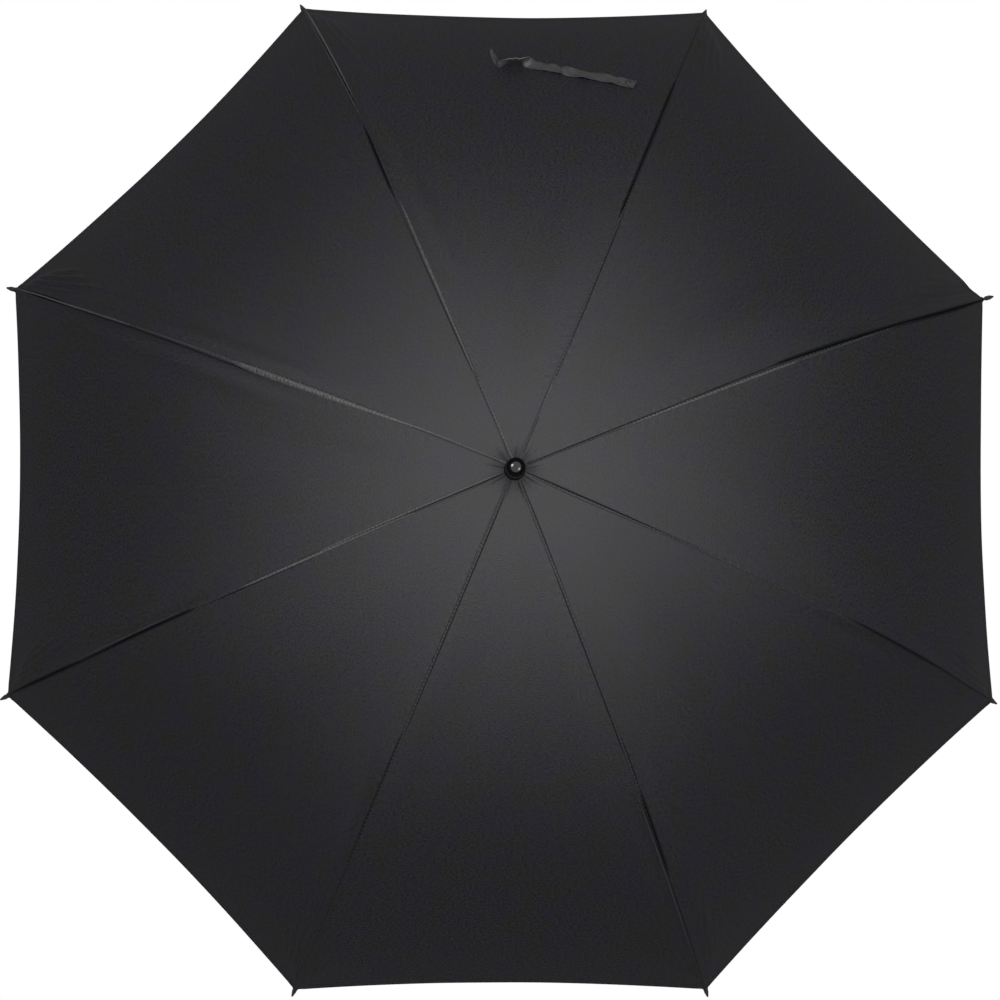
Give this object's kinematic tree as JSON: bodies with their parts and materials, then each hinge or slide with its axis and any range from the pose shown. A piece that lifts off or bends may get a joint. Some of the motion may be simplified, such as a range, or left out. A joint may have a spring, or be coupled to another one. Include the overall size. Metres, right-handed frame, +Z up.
{
  "type": "golf umbrella",
  "caption": "Open folding golf umbrella with a black eight-sided cloth canopy on hinged ribs and stretchers, a sliding runner with spring catches, and a straight foam handle",
  "frame": {"origin": "middle of the hand grip, on the shaft's axis", "axes": "+Z runs up the shaft to the ferrule; ribs stand at 22.5 degrees plus multiples of 45 degrees from +X, so +X, +Y, -X and -Y each pass through the middle of a canopy panel; the tie strap is on the +Y panel"},
  "size_m": [1.2028, 1.2028, 1.0068],
  "materials": {
    "canopy_cloth": "fine woven pongee with a faint sheen",
    "fibreglass": "satin black fibreglass rod with moulded clips",
    "shaft_black": "black enamelled steel tube",
    "black_plastic": "moulded",
    "gloss_black_plastic": "smooth moulded",
    "bright_metal": "polished",
    "dark_metal": "black press stud",
    "foam_grip": "closed-cell foam, fine pores"
  },
  "bodies": {
    "shaft": {"shaft_tube": "shaft_black", "crown_notch": "black_plastic", "crown_wire": "bright_metal", "crown_pin": "bright_metal", "crown_washer": "black_plastic", "ferrule_cap": "gloss_black_plastic", "ferrule_tip": "bright_metal", "runner_stop_pin": "bright_metal", "catch_pins": "bright_metal", "handle_grip": "foam_grip", "handle_collar": "gloss_black_plastic", "handle_end_cap": "gloss_black_plastic"},
    "rib_1": {"inner_rib_1": "fibreglass", "canopy_inner_1": "canopy_cloth"},
    "rib_end_1": {"outer_rib_1": "fibreglass", "canopy_outer_1": "canopy_cloth"},
    "stretcher_1": {"stretcher_1": "fibreglass"},
    "rib_2": {"inner_rib_2": "fibreglass", "canopy_inner_2": "canopy_cloth"},
    "rib_end_2": {"outer_rib_2": "fibreglass", "canopy_outer_2": "canopy_cloth", "tie_strap": "canopy_cloth", "strap_stud": "dark_metal"},
    "stretcher_2": {"stretcher_2": "fibreglass"},
    "rib_3": {"inner_rib_3": "fibreglass", "canopy_inner_3": "canopy_cloth"},
    "rib_end_3": {"outer_rib_3": "fibreglass", "canopy_outer_3": "canopy_cloth"},
    "stretcher_3": {"stretcher_3": "fibreglass"},
    "rib_4": {"inner_rib_4": "fibreglass", "canopy_inner_4": "canopy_cloth"},
    "rib_end_4": {"outer_rib_4": "fibreglass", "canopy_outer_4": "canopy_cloth"},
    "stretcher_4": {"stretcher_4": "fibreglass"},
    "rib_5": {"inner_rib_5": "fibreglass", "canopy_inner_5": "canopy_cloth"},
    "rib_end_5": {"outer_rib_5": "fibreglass", "canopy_outer_5": "canopy_cloth"},
    "stretcher_5": {"stretcher_5": "fibreglass"},
    "rib_6": {"inner_rib_6": "fibreglass", "canopy_inner_6": "canopy_cloth"},
    "rib_end_6": {"outer_rib_6": "fibreglass", "canopy_outer_6": "canopy_cloth"},
    "stretcher_6": {"stretcher_6": "fibreglass"},
    "rib_7": {"inner_rib_7": "fibreglass", "canopy_inner_7": "canopy_cloth"},
    "rib_end_7": {"outer_rib_7": "fibreglass", "canopy_outer_7": "canopy_cloth"},
    "stretcher_7": {"stretcher_7": "fibreglass"},
    "rib_8": {"inner_rib_8": "fibreglass", "canopy_inner_8": "canopy_cloth"},
    "rib_end_8": {"outer_rib_8": "fibreglass", "canopy_outer_8": "canopy_cloth"},
    "stretcher_8": {"stretcher_8": "fibreglass"},
    "runner": {"runner_body": "gloss_black_plastic", "runner_wire": "bright_metal"},
    "top_catch_blade": {"top_catch": "bright_metal"},
    "bottom_catch_blade": {"bottom_catch": "bright_metal"}
  },
  "joints": [
    {"name": "open_close", "type": "hinge", "parent": "shaft", "child": "rib_1", "pos_m": [0.01109, 0.00459, 0.88], "axis": [-0.3827, 0.9239, 0], "range_deg": [0, 71], "deforming": ["canopy_inner_1", "canopy_inner_2", "canopy_inner_3", "canopy_inner_4", "canopy_inner_5", "canopy_inner_6", "canopy_inner_7", "canopy_inner_8", "canopy_outer_1", "canopy_outer_2", "canopy_outer_3", "canopy_outer_4", "canopy_outer_5", "canopy_outer_6", "canopy_outer_7", "canopy_outer_8", "tie_strap", "strap_stud", "top_catch", "bottom_catch"]},
    {"name": "stretcher_1_swing", "type": "hinge", "parent": "rib_1", "child": "stretcher_1", "pos_m": [0.33799, 0.14, 0.77182], "axis": [-0.3827, 0.9239, 0], "range_deg": [-142, 0]},
    {"name": "rib_1_flex", "type": "hinge", "parent": "rib_1", "child": "rib_end_1", "pos_m": [0.33799, 0.14, 0.77182], "axis": [-0.3827, 0.9239, 0], "range_deg": [-22.72, 0]},
    {"name": "rib_2_fold", "type": "hinge", "parent": "shaft", "child": "rib_2", "pos_m": [0.00459, 0.01109, 0.88], "axis": [-0.9239, 0.3827, 0], "range_deg": [0, 71]},
    {"name": "stretcher_2_swing", "type": "hinge", "parent": "rib_2", "child": "stretcher_2", "pos_m": [0.14, 0.33799, 0.77182], "axis": [-0.9239, 0.3827, 0], "range_deg": [-142, 0]},
    {"name": "rib_2_flex", "type": "hinge", "parent": "rib_2", "child": "rib_end_2", "pos_m": [0.14, 0.33799, 0.77182], "axis": [-0.9239, 0.3827, 0], "range_deg": [-22.72, 0]},
    {"name": "rib_3_fold", "type": "hinge", "parent": "shaft", "child": "rib_3", "pos_m": [-0.00459, 0.01109, 0.88], "axis": [-0.9239, -0.3827, 0], "range_deg": [0, 71]},
    {"name": "stretcher_3_swing", "type": "hinge", "parent": "rib_3", "child": "stretcher_3", "pos_m": [-0.14, 0.33799, 0.77182], "axis": [-0.9239, -0.3827, 0], "range_deg": [-142, 0]},
    {"name": "rib_3_flex", "type": "hinge", "parent": "rib_3", "child": "rib_end_3", "pos_m": [-0.14, 0.33799, 0.77182], "axis": [-0.9239, -0.3827, 0], "range_deg": [-22.72, 0]},
    {"name": "rib_4_fold", "type": "hinge", "parent": "shaft", "child": "rib_4", "pos_m": [-0.01109, 0.00459, 0.88], "axis": [-0.3827, -0.9239, 0], "range_deg": [0, 71]},
    {"name": "stretcher_4_swing", "type": "hinge", "parent": "rib_4", "child": "stretcher_4", "pos_m": [-0.33799, 0.14, 0.77182], "axis": [-0.3827, -0.9239, 0], "range_deg": [-142, 0]},
    {"name": "rib_4_flex", "type": "hinge", "parent": "rib_4", "child": "rib_end_4", "pos_m": [-0.33799, 0.14, 0.77182], "axis": [-0.3827, -0.9239, 0], "range_deg": [-22.72, 0]},
    {"name": "rib_5_fold", "type": "hinge", "parent": "shaft", "child": "rib_5", "pos_m": [-0.01109, -0.00459, 0.88], "axis": [0.3827, -0.9239, 0], "range_deg": [0, 71]},
    {"name": "stretcher_5_swing", "type": "hinge", "parent": "rib_5", "child": "stretcher_5", "pos_m": [-0.33799, -0.14, 0.77182], "axis": [0.3827, -0.9239, 0], "range_deg": [-142, 0]},
    {"name": "rib_5_flex", "type": "hinge", "parent": "rib_5", "child": "rib_end_5", "pos_m": [-0.33799, -0.14, 0.77182], "axis": [0.3827, -0.9239, 0], "range_deg": [-22.72, 0]},
    {"name": "rib_6_fold", "type": "hinge", "parent": "shaft", "child": "rib_6", "pos_m": [-0.00459, -0.01109, 0.88], "axis": [0.9239, -0.3827, 0], "range_deg": [0, 71]},
    {"name": "stretcher_6_swing", "type": "hinge", "parent": "rib_6", "child": "stretcher_6", "pos_m": [-0.14, -0.33799, 0.77182], "axis": [0.9239, -0.3827, 0], "range_deg": [-142, 0]},
    {"name": "rib_6_flex", "type": "hinge", "parent": "rib_6", "child": "rib_end_6", "pos_m": [-0.14, -0.33799, 0.77182], "axis": [0.9239, -0.3827, 0], "range_deg": [-22.72, 0]},
    {"name": "rib_7_fold", "type": "hinge", "parent": "shaft", "child": "rib_7", "pos_m": [0.00459, -0.01109, 0.88], "axis": [0.9239, 0.3827, 0], "range_deg": [0, 71]},
    {"name": "stretcher_7_swing", "type": "hinge", "parent": "rib_7", "child": "stretcher_7", "pos_m": [0.14, -0.33799, 0.77182], "axis": [0.9239, 0.3827, 0], "range_deg": [-142, 0]},
    {"name": "rib_7_flex", "type": "hinge", "parent": "rib_7", "child": "rib_end_7", "pos_m": [0.14, -0.33799, 0.77182], "axis": [0.9239, 0.3827, 0], "range_deg": [-22.72, 0]},
    {"name": "rib_8_fold", "type": "hinge", "parent": "shaft", "child": "rib_8", "pos_m": [0.01109, -0.00459, 0.88], "axis": [0.3827, 0.9239, 0], "range_deg": [0, 71]},
    {"name": "stretcher_8_swing", "type": "hinge", "parent": "rib_8", "child": "stretcher_8", "pos_m": [0.33799, -0.14, 0.77182], "axis": [0.3827, 0.9239, 0], "range_deg": [-142, 0]},
    {"name": "rib_8_flex", "type": "hinge", "parent": "rib_8", "child": "rib_end_8", "pos_m": [0.33799, -0.14, 0.77182], "axis": [0.3827, 0.9239, 0], "range_deg": [-22.72, 0]},
    {"name": "runner_hinge", "type": "hinge", "parent": "stretcher_1", "child": "runner", "pos_m": [0.01109, 0.00459, 0.66364], "axis": [-0.3827, 0.9239, 0], "range_deg": [0, 71]},
    {"name": "top_catch_press", "type": "hinge", "parent": "shaft", "child": "top_catch_blade", "pos_m": [0.0035, 0, 0.59914], "axis": [0, -1, 0], "range_deg": [0, 8], "stiffness_Nm_per_rad": 0.3, "springref_deg": -5.73},
    {"name": "bottom_catch_press", "type": "hinge", "parent": "shaft", "child": "bottom_catch_blade", "pos_m": [0.0035, 0, 0.13095], "axis": [0, 1, 0], "range_deg": [0, 8], "stiffness_Nm_per_rad": 0.3, "springref_deg": -5.73}
  ],
  "couplings": [
    {"joint": "stretcher_1_swing", "follows": "open_close", "ratio": -2},
    {"joint": "rib_1_flex", "follows": "open_close", "ratio": -0.32},
    {"joint": "rib_2_fold", "follows": "open_close", "ratio": 1},
    {"joint": "stretcher_2_swing", "follows": "open_close", "ratio": -2},
    {"joint": "rib_2_flex", "follows": "open_close", "ratio": -0.32},
    {"joint": "rib_3_fold", "follows": "open_close", "ratio": 1},
    {"joint": "stretcher_3_swing", "follows": "open_close", "ratio": -2},
    {"joint": "rib_3_flex", "follows": "open_close", "ratio": -0.32},
    {"joint": "rib_4_fold", "follows": "open_close", "ratio": 1},
    {"joint": "stretcher_4_swing", "follows": "open_close", "ratio": -2},
    {"joint": "rib_4_flex", "follows": "open_close", "ratio": -0.32},
    {"joint": "rib_5_fold", "follows": "open_close", "ratio": 1},
    {"joint": "stretcher_5_swing", "follows": "open_close", "ratio": -2},
    {"joint": "rib_5_flex", "follows": "open_close", "ratio": -0.32},
    {"joint": "rib_6_fold", "follows": "open_close", "ratio": 1},
    {"joint": "stretcher_6_swing", "follows": "open_close", "ratio": -2},
    {"joint": "rib_6_flex", "follows": "open_close", "ratio": -0.32},
    {"joint": "rib_7_fold", "follows": "open_close", "ratio": 1},
    {"joint": "stretcher_7_swing", "follows": "open_close", "ratio": -2},
    {"joint": "rib_7_flex", "follows": "open_close", "ratio": -0.32},
    {"joint": "rib_8_fold", "follows": "open_close", "ratio": 1},
    {"joint": "stretcher_8_swing", "follows": "open_close", "ratio": -2},
    {"joint": "rib_8_flex", "follows": "open_close", "ratio": -0.32},
    {"joint": "runner_hinge", "follows": "open_close", "ratio": 1}
  ]
}
